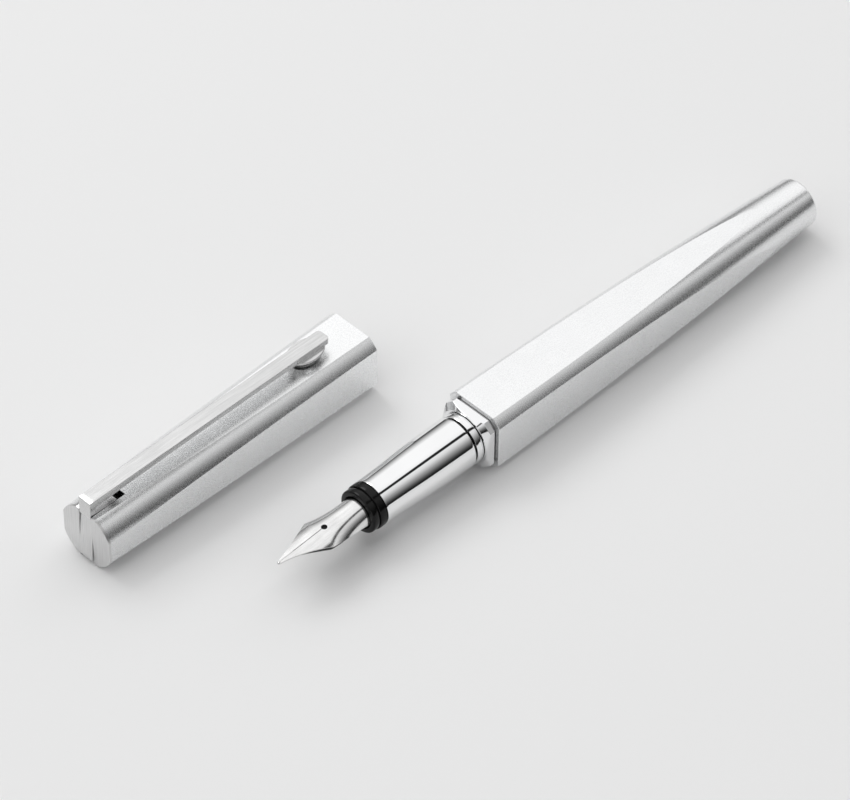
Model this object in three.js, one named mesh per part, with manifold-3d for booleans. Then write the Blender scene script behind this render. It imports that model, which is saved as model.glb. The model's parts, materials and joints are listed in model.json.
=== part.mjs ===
// Square-barrelled fountain pen, uncapped, with its cap lying beside it.
// Millimetres, +Z up. Both pieces lie on their lower flats on the plane z = 0.
// The pen's axis runs along X: the nib points to -X and the tail to +X.
// The origin is the middle of the barrel's lower flat. Each piece is drawn in the pen's own
// frame, with x = 0 at the barrel's front rim, or in the cap's, with x = 0 at its mouth.

import * as THREE from 'three';
import { mergeVertices } from 'three/addons/utils/BufferGeometryUtils.js';
import Module from 'manifold-3d';

// ---- Driving dimensions -------------------------------------------------

// Clearances: pressed or screwed fits, sliding fits, and gaps between end faces.
const fitGap = 0.1;
const slideGap = 0.15;
const seatGap = 0.3;

// Converter that stores the ink. Everything around it is sized outwards from it.
const converterRadius = 3.6;
const converterLength = 72;
const reservoirRadius = 2.9;
const socketDepth = 6;
const sleeveWall = 0.2;
const sleeveLength = 14;
const guideLength = 5.6;
const knobLength = 21.6;
const knobInset = 0.15;
const knobFlutes = 12;
const fluteDepth = 0.25;
const rodRadius = 1.1;
const pistonLength = 4;
const pistonTravel = 19;
const converterRoom = 9;

// Walls, from the converter outwards.
const tenonWall = 0.55;
const insertWall = 0.5;
const barrelWall = 1;
const gripWall = 0.65;
const linerWall = 0.2;

// Barrel: a square tube that tapers and turns into a round tail.
const barrelTaper = 0.0098;
const barrelCornerBulge = 1.45;
const barrelMidBulge = 0.55;
const chamberGap = 0.4;
const tailWall = 0.45;
const tailLength = 13.3;
const rimBevel = 0.2;
const tailRounding = 0.7;
const restPoint = 30;

// Square collar between barrel and section.
const collarStep = 0.6;
const collarCornerBulge = 1.1;
const collarFront = -2.4;
const collarRear = -0.5;
const collarChamfer = 1.15;
const collarKeyLength = 2.6;
const collarKeyInset = 0.45;
const tenonLength = 10;
const tenonLead = 0.4;

// Section: chrome band, groove, grip, and the black flange of the nib housing.
const bandInset = 0.05;
const bandLength = 1.4;
const grooveInset = 0.4;
const grooveLength = 0.3;
const gripLength = 20.4;
const gripDip = 0.15;
const gripFrontStep = 0.75;
const tenonFrontLength = 4;
const housingWall = 0.4;
const flangeLength = 3;
const flangeStep = 0.2;
const nippleRadius = 1.7;
const nippleLength = 6;
const nippleReach = 2;
const inkChannelRadius = 0.5;

// Nib and feed.
const nibTailRadius = 3.1;
const nibTailLength = 9.5;
const nibExposed = 18.4;
const nibSheet = 0.35;
const nibSplay = 7;
const nibFall = 4.4;
const nibDrop = 0.25;
const nibWrap = 0.5;
const nibShoulderFlare = 0.55;
const nibShoulderAt = 8.9;
const nibTipHalf = 0.42;
const breatherRadius = 0.55;
const breatherAt = 7.8;
const slitWidth = 0.16;
const feedExposed = 12;
const feedTailLength = 11.4;
const feedFins = 6;
const feedFinPitch = 0.9;
const feedFinWidth = 0.4;

// Cap: a square tube with its own slight taper, parked beside the pen.
const capTaper = 0.005;
const capCornerBulge = 1.25;
const capMidBulge = 0.12;
const capEndBulge = 0.446;
const capEndBevel = 0.25;
const capGapX = -0.9;
const capOffsetY = 28.55;
const mouthRoom = 1;
const linerStep = 1.6;
const tipRoom = 4.5;
const linerEndWall = 1;
const capEndRoom = 6;
const plugDepth = 5;
const plugInset = 0.75;
const endBandWidth = 3.1;
const endBandTilt = 0.4;
const endBandThickness = 1.6;

// Clip: one bent strip with its foot let into the cap's top flat.
const clipWidth = 2.8;
const clipThickness = 1.15;
const clipSetback = 6.9;
const clipRise = 2.8;
const clipBendDepth = 3.8;
const clipFootLength = 5;
const clipNotch = 1;
const clipPadAt = 4.5;
const clipPadLength = 7.8;
const clipPadWidth = 5.4;
const clipCornerRadius = 0.7;

const sides = 64;
const smallSides = 40;

// ---- Solids -------------------------------------------------------------

const wasm = await Module();
wasm.setup();

// A closed three.js geometry as a solid that can be joined and cut.
function toSolid(geometry) {
  const bare = geometry.clone();
  bare.deleteAttribute('normal');
  bare.deleteAttribute('uv');
  const merged = mergeVertices(bare, 1e-4);
  const corners = merged.index.array;
  const triangles = [];
  for (let i = 0; i < corners.length; i += 3) {
    const [a, b, c] = corners.slice(i, i + 3);
    if (a !== b && b !== c && c !== a) triangles.push(a, b, c);
  }
  return new wasm.Manifold(new wasm.Mesh({
    numProp: 3,
    vertProperties: new Float32Array(merged.attributes.position.array),
    triVerts: new Uint32Array(triangles),
  }));
}

function toGeometry(solid) {
  const mesh = solid.getMesh();
  const geometry = new THREE.BufferGeometry();
  geometry.setAttribute('position', new THREE.BufferAttribute(mesh.vertProperties, 3));
  geometry.setIndex(new THREE.BufferAttribute(mesh.triVerts, 1));
  geometry.computeVertexNormals();
  return geometry;
}

// A body turned about the X axis from [x, radius] points.
// The outer wall runs towards +X; the outline starts and ends on the axis.
function turned(points, segments = sides) {
  const outline = points.map(([x, radius]) => new THREE.Vector2(radius, x));
  const geometry = new THREE.LatheGeometry(outline, segments);
  geometry.rotateZ(-Math.PI / 2);
  return toSolid(geometry);
}

// A turned ring or tube: the inner wall runs back and closes the outline.
function turnedRing(outer, inner, segments = sides) {
  const loop = [...outer, ...[...inner].reverse()];
  return turned([...loop, loop[0]], segments);
}

function tube(from, to, outerRadius, innerRadius, segments = sides) {
  const outer = [[from, outerRadius], [to, outerRadius]];
  const inner = [[from, innerRadius], [to, innerRadius]];
  return turnedRing(outer, inner, segments);
}

function rod(from, to, radius, segments = sides) {
  return turned([[from, 0], [from, radius], [to, radius], [to, 0]], segments);
}

// A square bar along X whose half-width changes evenly from one end to the other.
function squareBar(from, to, halfFrom, halfTo) {
  const geometry = new THREE.CylinderGeometry(
    halfTo * Math.SQRT2, halfFrom * Math.SQRT2, to - from, 4,
  );
  geometry.rotateY(Math.PI / 4);
  geometry.rotateZ(-Math.PI / 2);
  geometry.translate((from + to) / 2, 0, 0);
  return toSolid(geometry);
}

function box(low, high) {
  const size = high.map((value, axis) => value - low[axis]);
  const geometry = new THREE.BoxGeometry(...size);
  geometry.translate(...high.map((value, axis) => (value + low[axis]) / 2));
  return toSolid(geometry);
}

// A side outline in the XZ plane, given in three.js shape commands, made as wide as asked in Y.
function sideSlab(shape, width, curveSegments = 12) {
  const geometry = new THREE.ExtrudeGeometry(shape, {
    depth: width, bevelEnabled: false, curveSegments,
  });
  geometry.rotateX(Math.PI / 2);
  geometry.translate(0, width / 2, 0);
  return toSolid(geometry);
}

// A plan outline in the XY plane, raised between two heights.
function planSlab(shape, bottom, top, curveSegments = 12) {
  const geometry = new THREE.ExtrudeGeometry(shape, {
    depth: top - bottom, bevelEnabled: false, curveSegments,
  });
  geometry.translate(0, 0, bottom);
  return toSolid(geometry);
}

// Points of a smooth outline through the given [x, radius] points.
function smooth(points, steps) {
  const curve = new THREE.SplineCurve(points.map(([x, radius]) => new THREE.Vector2(x, radius)));
  return curve.getPoints(steps).map((point) => [point.x, point.y]);
}

function finish(colour, roughness, metalness) {
  return new THREE.MeshStandardMaterial({ color: colour, roughness, metalness });
}

const satinAluminium = () => finish(0xd3d5d8, 0.38, 1);
const mirrorChrome = () => finish(0xe4e6e8, 0.06, 1);
const blackPlastic = () => finish(0x121214, 0.2, 0);
const brushedSteel = () => finish(0xc9cbce, 0.25, 1);
const clearPlastic = () => finish(0xb8bcc0, 0.1, 0);
const brass = () => finish(0xb08d4a, 0.35, 1);

function node(name, solid, material) {
  const mesh = new THREE.Mesh(toGeometry(solid), material);
  mesh.name = name;
  return mesh;
}

// ---- Sizes that follow from the driving dimensions ------------------------

// Radii and half-widths, from the converter outwards.
const tenonBore = converterRadius + slideGap;
const tenonRadius = tenonBore + tenonWall;
const threadBore = tenonRadius + fitGap;
const insertRadius = threadBore + insertWall;
const barrelHalf = insertRadius + fitGap + barrelWall;
const barrelCornerRadius = barrelHalf + barrelCornerBulge;
const sleeveRadius = converterRadius + fitGap + sleeveWall;
const chamberRadius = sleeveRadius + chamberGap;
const tailRadius = chamberRadius + tailWall;
const knobRadius = converterRadius - knobInset;
const collarHalf = barrelHalf - collarStep;
const collarCornerRadius = collarHalf + collarCornerBulge;
const keyHalf = collarHalf - collarKeyInset;
const keyCornerRadius = collarCornerRadius - collarKeyInset;
const gripRadius = tenonRadius + gripWall;
const bandRadius = gripRadius - bandInset;
const grooveRadius = gripRadius - grooveInset;
const housingBore = nibTailRadius + fitGap;
const housingRadius = housingBore + housingWall;
const gripFrontRadius = housingRadius + gripFrontStep;
const nibHeight = nibTailRadius - nibDrop;
const nibShoulderHalf = nibTailRadius + nibShoulderFlare;

// Places along the pen, from the collar forwards to the nib's tip.
const keyEnd = collarRear + collarKeyLength;
const insertStart = keyEnd + seatGap;
const insertEnd = tenonLength + seatGap;
const bandFront = collarFront - fitGap - bandLength;
const grooveFront = bandFront - fitGap - grooveLength;
const gripRear = grooveFront - fitGap;
const gripFront = gripRear - gripLength;
const flangeRear = gripFront - fitGap;
const nibBase = flangeRear - flangeLength;
const nibTip = nibBase - nibExposed;
const tenonFront = gripRear - tenonFrontLength;
const nippleTip = tenonFront + nippleReach;
const nippleRoot = nippleTip - nippleLength;

// Places along the pen, from the nipple back to the tail.
const converterFront = nippleRoot + fitGap;
const socketEnd = converterFront + socketDepth;
const reservoirStart = socketEnd + 1;
const knobEnd = converterFront + converterLength;
const knobFront = knobEnd - knobLength;
const sleeveEnd = knobFront - seatGap;
const sleeveFront = sleeveEnd - sleeveLength;
const guideFront = sleeveEnd - guideLength;
const tubeEnd = guideFront - seatGap;
const pistonFront = reservoirStart + seatGap;
const rodFront = pistonFront + pistonLength;
const rodEnd = knobFront + slideGap;
const chamberEnd = knobEnd + converterRoom;
const barrelLength = chamberEnd + tailLength;

// The cap is drawn with its mouth at x = 0 and its closed end at capEnd.
const capHalf = barrelHalf;
const capCornerRadius = capHalf + capCornerBulge;
const linerRadius = gripRadius + slideGap + linerWall;
const capBore = linerRadius + fitGap;
const mouthDepth = mouthRoom - collarFront;
const mouthHalf = collarHalf + slideGap;
const linerFront = -mouthDepth - linerStep;
const linerEnd = nibTip - tipRoom - linerEndWall;
const plugFront = linerEnd - capEndRoom;
const capEnd = plugFront - plugDepth;
const capEndHalf = capHalf + capTaper * capEnd;
const capEndRadius = capEndHalf + capEndBulge;
const plugHalf = capEndHalf - plugInset;
const plugCornerRadius = capEndRadius - plugInset;

// The clip's bend, arm and leg, in the cap's frame.
const armTop = capHalf + clipRise;
const underside = armTop - clipThickness;
const armEnd = -clipSetback;
const bendRadius = clipBendDepth / 2;
const bendInside = bendRadius - clipThickness;
const bendX = capEnd + bendRadius;
const bendZ = armTop - bendRadius;
const legBottom = armTop - clipBendDepth;
const legEnd = bendX + clipFootLength;
const slotHalf = clipWidth / 2 + slideGap;
const slotBottom = legBottom - slideGap;

const barrelTilt = Math.atan(barrelTaper);
const capTilt = Math.atan(capTaper);

// ---- Barrel -----------------------------------------------------------------

// A turned body squared on four sides, along X.
function squaredRod(from, to, radius, half) {
  return rod(from, to, radius).intersect(squareBar(from, to, half, half));
}

function barrelShell() {
  const edge = tailRounding * 0.3;
  const flank = smooth([
    [rimBevel, barrelCornerRadius],
    [barrelLength / 2, (barrelCornerRadius + tailRadius) / 2 + barrelMidBulge],
    [barrelLength - tailRounding, tailRadius],
  ], 14);
  const outer = turned([
    [0, 0],
    [0, barrelCornerRadius - rimBevel],
    ...flank,
    [barrelLength - edge, tailRadius - edge],
    [barrelLength, tailRadius - tailRounding],
    [barrelLength, 0],
  ]);
  const tailHalf = barrelHalf - barrelTaper * barrelLength;
  const recess = squaredRod(
    -1, insertStart, keyCornerRadius + slideGap, keyHalf + slideGap,
  );
  return outer
    .intersect(squareBar(0, barrelLength, barrelHalf, tailHalf))
    .subtract(recess)
    .subtract(rod(0, insertEnd + seatGap, insertRadius + fitGap))
    .subtract(rod(0, chamberEnd, chamberRadius));
}

function threadInsert() {
  return tube(insertStart + fitGap, insertEnd, insertRadius, threadBore);
}

// ---- Collar -----------------------------------------------------------------

// A square plate with a cone turned on its front, like a nut, and a square key behind.
function squareCollar() {
  const plate = turned([
    [collarFront, 0],
    [collarFront, collarHalf - fitGap],
    [collarFront + collarChamfer, collarCornerRadius],
    [collarRear, collarCornerRadius],
    [collarRear, 0],
  ]).intersect(squareBar(collarFront, collarRear, collarHalf, collarHalf));
  const key = squaredRod(collarRear - seatGap, keyEnd, keyCornerRadius, keyHalf);
  return plate.add(key).subtract(rod(collarFront - 1, keyEnd + 1, threadBore));
}

// ---- Section ----------------------------------------------------------------

function sectionBand() {
  return tube(bandFront, bandFront + bandLength, bandRadius, threadBore);
}

function grooveRing() {
  return tube(grooveFront, grooveFront + grooveLength, grooveRadius, threadBore);
}

function gripShell() {
  const outer = smooth([
    [gripFront, gripFrontRadius],
    [gripFront + gripLength / 3, (gripRadius + gripFrontRadius) / 2 - gripDip],
    [gripFront + gripLength / 2, gripRadius - 0.18],
    [gripRear, gripRadius],
  ], 12);
  const step = nippleRoot - seatGap;
  const inner = [
    [gripFront, housingRadius + fitGap],
    [step, housingRadius + fitGap],
    [step, threadBore],
    [gripRear, threadBore],
  ];
  return turnedRing(outer, inner);
}

// Threaded tube that joins the grip to the barrel.
function threadedTenon() {
  const outer = [
    [tenonFront, tenonRadius],
    [tenonLength - tenonLead, tenonRadius],
    [tenonLength, tenonRadius - tenonLead / 2],
  ];
  const inner = [
    [tenonFront, tenonBore],
    [tenonLength, tenonBore],
  ];
  return turnedRing(outer, inner);
}

// Black flange in front of the grip, with the stem and nipple that carry the ink.
function nibHousing() {
  const frontRadius = gripFrontRadius - flangeStep;
  const neckRadius = frontRadius - flangeStep;
  const grooveAt = nibBase + flangeLength * 0.45;
  const grooveBack = grooveAt + flangeStep * 2;
  const bevel = flangeStep / 2;
  const boreEnd = nibBase + feedTailLength + seatGap;
  const outer = [
    [nibBase, frontRadius - bevel],
    [nibBase + bevel, frontRadius],
    [grooveAt, frontRadius],
    [grooveAt + bevel, neckRadius],
    [grooveBack - bevel, neckRadius],
    [grooveBack, gripFrontRadius],
    [flangeRear, gripFrontRadius],
    [flangeRear, housingRadius],
    [nippleRoot, housingRadius],
    [nippleRoot, nippleRadius],
    [nippleTip, nippleRadius],
  ];
  const inner = [
    [nibBase, housingBore],
    [boreEnd, housingBore],
    [boreEnd, inkChannelRadius],
    [nippleTip, inkChannelRadius],
  ];
  return turnedRing(outer, inner, smallSides);
}

// ---- Nib and feed -------------------------------------------------------------

// The outside of the bent nib sheet as a solid, shrunk by an inset:
// a straight tail and a cone that splays and falls towards the tip.
function nibEnvelope(inset) {
  const overlap = 0.4;
  const tail = rod(
    nibBase - overlap, nibBase + feedTailLength, nibTailRadius - inset, smallSides,
  );
  const reach = nibExposed + 2;
  const cone = new THREE.LatheGeometry([
    new THREE.Vector2(0, -reach),
    new THREE.Vector2(nibTailRadius + nibSplay - inset, -reach),
    new THREE.Vector2(nibTailRadius - inset, 0),
    new THREE.Vector2(0, 0),
  ], smallSides);
  cone.rotateZ(-Math.PI / 2);
  cone.translate(0, 0, -nibTailRadius);
  cone.rotateY(-THREE.MathUtils.degToRad(nibFall) - Math.atan(nibSplay / reach));
  cone.translate(nibBase, 0, nibHeight);
  const front = box([nibBase - reach, -reach, -reach], [nibBase - seatGap, reach, reach]);
  return tail.add(toSolid(cone).intersect(front));
}

// The nib's plan outline: it opens to the shoulders, then tapers to the tip.
function nibOutline() {
  const tail = nibBase + nibTailLength;
  const tailHalf = nibTailRadius + 1;
  const shoulder = nibBase - nibShoulderAt;
  const wide = nibShoulderHalf;
  const near = [shoulder - 1.2, wide * 0.87];
  const far = [shoulder - 4.7, wide * 0.42];
  const outline = new THREE.Shape();
  outline.moveTo(tail, tailHalf);
  outline.lineTo(tail, -tailHalf);
  outline.lineTo(nibBase, -tailHalf);
  outline.lineTo(nibBase, -nibTailRadius);
  outline.lineTo(shoulder, -wide);
  outline.bezierCurveTo(near[0], -near[1], far[0], -far[1], nibTip + nibTipHalf, -nibTipHalf);
  outline.quadraticCurveTo(nibTip, 0, nibTip + nibTipHalf, nibTipHalf);
  outline.bezierCurveTo(far[0], far[1], near[0], near[1], shoulder, wide);
  outline.lineTo(nibBase, nibTailRadius);
  outline.lineTo(nibBase, tailHalf);
  outline.closePath();
  return outline;
}

function nib() {
  const breather = nibBase - breatherAt;
  const hole = new THREE.CylinderGeometry(breatherRadius, breatherRadius, nibHeight * 3, 24);
  hole.rotateX(Math.PI / 2);
  hole.translate(breather, 0, nibHeight);
  const slit = box([nibTip - 1, -slitWidth / 2, -1], [breather, slitWidth / 2, nibHeight + 2]);
  return nibEnvelope(0)
    .subtract(nibEnvelope(nibSheet))
    .intersect(planSlab(nibOutline(), -nibWrap, nibTailRadius + 1))
    .subtract(toSolid(hole))
    .subtract(slit);
}

// Black feed under the nib: a finned keel that rises to the nib's underside.
function feed() {
  const tail = nibBase + feedTailLength;
  const tip = nibBase - feedExposed;
  const radius = nibTailRadius - nibSheet - fitGap;
  const keel = new THREE.Shape();
  keel.moveTo(tail, -radius);
  keel.lineTo(tail, radius);
  keel.lineTo(tip, nibHeight);
  keel.lineTo(tip, nibHeight * 0.15);
  keel.quadraticCurveTo(nibBase - feedExposed * 0.62, -radius * 0.95, nibBase - 2.2, -radius);
  keel.closePath();
  let body = nibEnvelope(nibSheet + fitGap)
    .intersect(sideSlab(keel, radius * 2))
    .intersect(rod(tip, tail, radius, smallSides));
  for (let i = 0; i < feedFins; i += 1) {
    const at = nibBase - 1.6 - i * feedFinPitch;
    const low = [at - feedFinWidth, -radius - 1, -radius - 1];
    body = body.subtract(box(low, [at, radius + 1, -radius * 0.55]));
  }
  return body;
}

// ---- Converter ----------------------------------------------------------------

function converterTube() {
  const outer = [
    [converterFront, converterRadius],
    [tubeEnd, converterRadius],
  ];
  const inner = [
    [converterFront, nippleRadius + fitGap],
    [socketEnd, nippleRadius + fitGap],
    [reservoirStart, nippleRadius],
    [reservoirStart, reservoirRadius],
    [tubeEnd, reservoirRadius],
  ];
  return turnedRing(outer, inner, smallSides);
}

function converterSleeve() {
  return tube(sleeveFront, sleeveEnd, sleeveRadius, converterRadius + fitGap, smallSides);
}

function rodGuide() {
  return tube(guideFront, sleeveEnd, converterRadius, rodRadius + fitGap, smallSides);
}

function converterKnob() {
  const boreEnd = rodEnd + pistonTravel + seatGap;
  const edge = 0.5;
  let knob = turned([
    [knobFront, 0],
    [knobFront, knobRadius],
    [knobEnd - edge, knobRadius],
    [knobEnd, knobRadius - edge],
    [knobEnd, 0],
  ], smallSides).subtract(rod(knobFront - 1, boreEnd, rodRadius + fitGap, smallSides));
  for (let i = 0; i < knobFlutes; i += 1) {
    const flute = new THREE.BoxGeometry(knobLength - 4, fluteDepth * 2, fluteDepth * 2);
    flute.translate((knobFront + knobEnd) / 2, 0, knobRadius);
    flute.rotateX((i * 2 * Math.PI) / knobFlutes);
    knob = knob.subtract(toSolid(flute));
  }
  return knob;
}

function pistonRod() {
  return rod(rodFront + fitGap, rodEnd, rodRadius, 24);
}

function pistonSeal() {
  const radius = reservoirRadius - fitGap;
  const waist = radius - 0.4;
  return turned([
    [pistonFront, 0],
    [pistonFront, radius],
    [pistonFront + pistonLength * 0.25, radius],
    [pistonFront + pistonLength * 0.35, waist],
    [pistonFront + pistonLength * 0.65, waist],
    [pistonFront + pistonLength * 0.75, radius],
    [rodFront, radius],
    [rodFront, 0],
  ], smallSides);
}

// ---- Cap ------------------------------------------------------------------------

function capBody() {
  const flank = smooth([
    [capEnd + capEndBevel, capEndRadius],
    [capEnd / 2, (capCornerRadius + capEndRadius) / 2 + capMidBulge],
    [-rimBevel, capCornerRadius],
  ], 12);
  return turned([
    [capEnd, 0],
    [capEnd, capEndRadius - capEndBevel],
    ...flank,
    [0, capCornerRadius - rimBevel],
    [0, 0],
  ]).intersect(squareBar(capEnd, 0, capEndHalf, capHalf));
}

function capShell() {
  const slot = box(
    [capEnd - 1, -slotHalf, slotBottom],
    [legEnd + clipNotch, slotHalf, capHalf + 1],
  );
  return capBody()
    .subtract(squaredRod(-mouthDepth, 1, collarCornerRadius + slideGap, mouthHalf))
    .subtract(rod(plugFront - 1, 1, capBore))
    .subtract(squaredRod(capEnd - 1, plugFront, plugCornerRadius + fitGap, plugHalf + fitGap))
    .subtract(slot);
}

// Plug that closes the cap, with a groove down its face for the end band.
function endPlug() {
  const groove = box(
    [capEnd - 1, -endBandWidth / 2 - fitGap, -capHalf],
    [capEnd + endBandThickness + seatGap, endBandWidth / 2 + fitGap, slotBottom],
  );
  const clipRoom = box([capEnd - 1, -slotHalf, slotBottom], [plugFront, slotHalf, capHalf]);
  return squaredRod(capEnd, plugFront - seatGap, plugCornerRadius, plugHalf)
    .subtract(groove)
    .subtract(clipRoom);
}

// Bar set into the end face: sunk at its top and proud at its bottom.
function endBand() {
  const top = slotBottom - seatGap;
  const back = capEnd + endBandThickness;
  const proud = capEnd - endBandTilt;
  const bevel = 0.3;
  const bar = new THREE.Shape();
  bar.moveTo(capEnd + endBandTilt, top);
  bar.lineTo(back, top);
  bar.lineTo(back, -plugHalf);
  bar.lineTo(proud + bevel, -plugHalf);
  bar.lineTo(proud, -plugHalf + bevel);
  bar.closePath();
  return sideSlab(bar, endBandWidth);
}

function innerCap() {
  const bore = linerRadius - linerWall;
  return turned([
    [linerEnd, 0],
    [linerEnd, linerRadius],
    [linerFront, linerRadius],
    [linerFront, bore],
    [linerEnd + linerEndWall, bore],
    [linerEnd + linerEndWall, 0],
  ]);
}

// ---- Clip -------------------------------------------------------------------------

// Lower half of the bend and the leg that lies in the cap's slot, its end cut askew.
function clipFoot() {
  const legTop = legBottom + clipThickness;
  const side = new THREE.Shape();
  side.moveTo(bendX - bendRadius, bendZ - seatGap / 2);
  side.absarc(bendX, bendZ, bendRadius, Math.PI + 0.1, Math.PI * 1.5, false);
  side.lineTo(legEnd, legBottom);
  side.lineTo(legEnd - clipThickness * 0.7, legTop);
  side.lineTo(bendX, legTop);
  side.absarc(bendX, bendZ, bendInside, Math.PI * 1.5, Math.PI + 0.3, true);
  side.closePath();
  return sideSlab(side, clipWidth);
}

// The arm seen from the side: half of the bend and the straight strip.
function clipSide() {
  const side = new THREE.Shape();
  side.moveTo(bendX - bendRadius, bendZ + seatGap / 2);
  side.absarc(bendX, bendZ, bendRadius, Math.PI - 0.1, Math.PI / 2, true);
  side.lineTo(armEnd, armTop);
  side.lineTo(armEnd, underside);
  side.lineTo(bendX, underside);
  side.absarc(bendX, bendZ, bendInside, Math.PI / 2, Math.PI - 0.3, false);
  side.closePath();
  return side;
}

// The oval pad under the free end, which holds the cloth against the cap.
function clipPad() {
  const centre = armEnd - clipPadAt;
  const bottom = capHalf + capTaper * (centre + clipPadLength / 2) + fitGap;
  const oval = new THREE.Shape();
  oval.absellipse(centre, 0, clipPadLength / 2, clipPadWidth / 2, 0, Math.PI * 2, false);
  return planSlab(oval, bottom, underside + clipThickness / 2);
}

function clipPlan() {
  const half = clipWidth / 2;
  const centre = armEnd - clipCornerRadius;
  const plan = new THREE.Shape();
  plan.moveTo(capEnd - 1, -half);
  plan.lineTo(centre, -half);
  plan.absarc(centre, -half + clipCornerRadius, clipCornerRadius, -Math.PI / 2, 0, false);
  plan.absarc(centre, half - clipCornerRadius, clipCornerRadius, 0, Math.PI / 2, false);
  plan.lineTo(capEnd - 1, half);
  plan.closePath();
  return plan;
}

function clipArm() {
  const strip = sideSlab(clipSide(), clipWidth + 1).intersect(planSlab(clipPlan(), 0, armTop + 1));
  return strip.add(clipPad());
}

// ---- Assembly -----------------------------------------------------------------------

const pen = new THREE.Group();
pen.add(
  node('barrel_shell', barrelShell(), satinAluminium()),
  node('barrel_thread_insert', threadInsert(), brass()),
  node('square_collar', squareCollar(), mirrorChrome()),
  node('section_band', sectionBand(), mirrorChrome()),
  node('section_groove_ring', grooveRing(), blackPlastic()),
  node('section_grip', gripShell(), mirrorChrome()),
  node('section_tenon', threadedTenon(), brushedSteel()),
  node('nib_housing', nibHousing(), blackPlastic()),
  node('nib', nib(), mirrorChrome()),
  node('feed', feed(), blackPlastic()),
  node('converter_tube', converterTube(), clearPlastic()),
  node('converter_sleeve', converterSleeve(), mirrorChrome()),
  node('converter_rod_guide', rodGuide(), blackPlastic()),
  node('converter_knob', converterKnob(), blackPlastic()),
  node('piston_rod', pistonRod(), blackPlastic()),
  node('piston_seal', pistonSeal(), clearPlastic()),
);
pen.rotation.y = barrelTilt;
pen.position.set(barrelHalf * Math.sin(barrelTilt), 0, barrelHalf * Math.cos(barrelTilt));

const cap = new THREE.Group();
cap.add(
  node('cap_shell', capShell(), satinAluminium()),
  node('cap_end_plug', endPlug(), satinAluminium()),
  node('cap_end_band', endBand(), brushedSteel()),
  node('inner_cap', innerCap(), blackPlastic()),
  node('clip_foot', clipFoot(), brushedSteel()),
  node('clip_arm', clipArm(), brushedSteel()),
);
cap.rotation.y = -capTilt;
cap.position.set(capGapX, capOffsetY, capHalf * Math.cos(capTilt));

const group = new THREE.Group();
group.add(pen, cap);
group.position.x = -restPoint;

export default group;
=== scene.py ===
import json
import math
import bpy
import bmesh
from mathutils import Matrix, Vector


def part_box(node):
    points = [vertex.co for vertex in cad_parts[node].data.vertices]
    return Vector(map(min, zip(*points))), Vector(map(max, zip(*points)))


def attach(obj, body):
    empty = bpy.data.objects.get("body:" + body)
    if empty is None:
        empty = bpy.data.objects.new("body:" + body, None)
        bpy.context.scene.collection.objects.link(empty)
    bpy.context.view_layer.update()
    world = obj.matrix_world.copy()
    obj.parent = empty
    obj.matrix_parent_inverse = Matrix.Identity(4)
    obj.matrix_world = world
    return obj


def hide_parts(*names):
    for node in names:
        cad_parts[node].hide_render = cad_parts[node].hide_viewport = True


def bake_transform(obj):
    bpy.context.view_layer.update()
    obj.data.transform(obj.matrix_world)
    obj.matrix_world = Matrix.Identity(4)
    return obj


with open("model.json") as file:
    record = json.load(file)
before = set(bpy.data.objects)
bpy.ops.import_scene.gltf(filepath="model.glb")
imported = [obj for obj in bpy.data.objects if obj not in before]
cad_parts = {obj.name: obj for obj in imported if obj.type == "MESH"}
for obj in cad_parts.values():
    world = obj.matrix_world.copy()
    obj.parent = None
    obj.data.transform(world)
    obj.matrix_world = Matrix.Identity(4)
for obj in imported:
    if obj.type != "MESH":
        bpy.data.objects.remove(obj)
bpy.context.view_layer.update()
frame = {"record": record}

mm = 0.001  # pieces are drawn in millimetres, on the axis of the pen or of the cap

joints = {joint["name"]: joint for joint in frame["record"]["behaviour"]["joints"]}


# A matrix from millimetres on a piece's own axis to the object's frame.
def axisFrame(origin, along):
    x = Vector(along).normalized()
    y = Vector((0, 1, 0))
    z = x.cross(y)
    turn = Matrix((x, y, z)).transposed().to_4x4()
    return Matrix.Translation(Vector(origin)) @ turn @ Matrix.Scale(mm, 4)


turnJoint = joints["section_turn"]
penFrame = axisFrame(turnJoint["pos_m"], -Vector(turnJoint["axis"]))


# A socket that adds Math nodes when it is used in an expression.
class Wire:
    def __init__(self, shade, socket):
        self.shade = shade
        self.socket = socket

    def math(self, operation, first, second):
        return self.shade.math(operation, first, second)

    def __add__(self, other):
        return self.math("ADD", self, other)

    def __radd__(self, other):
        return self.math("ADD", other, self)

    def __sub__(self, other):
        return self.math("SUBTRACT", self, other)

    def __rsub__(self, other):
        return self.math("SUBTRACT", other, self)

    def __mul__(self, other):
        return self.math("MULTIPLY", self, other)

    def __rmul__(self, other):
        return self.math("MULTIPLY", other, self)


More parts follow.
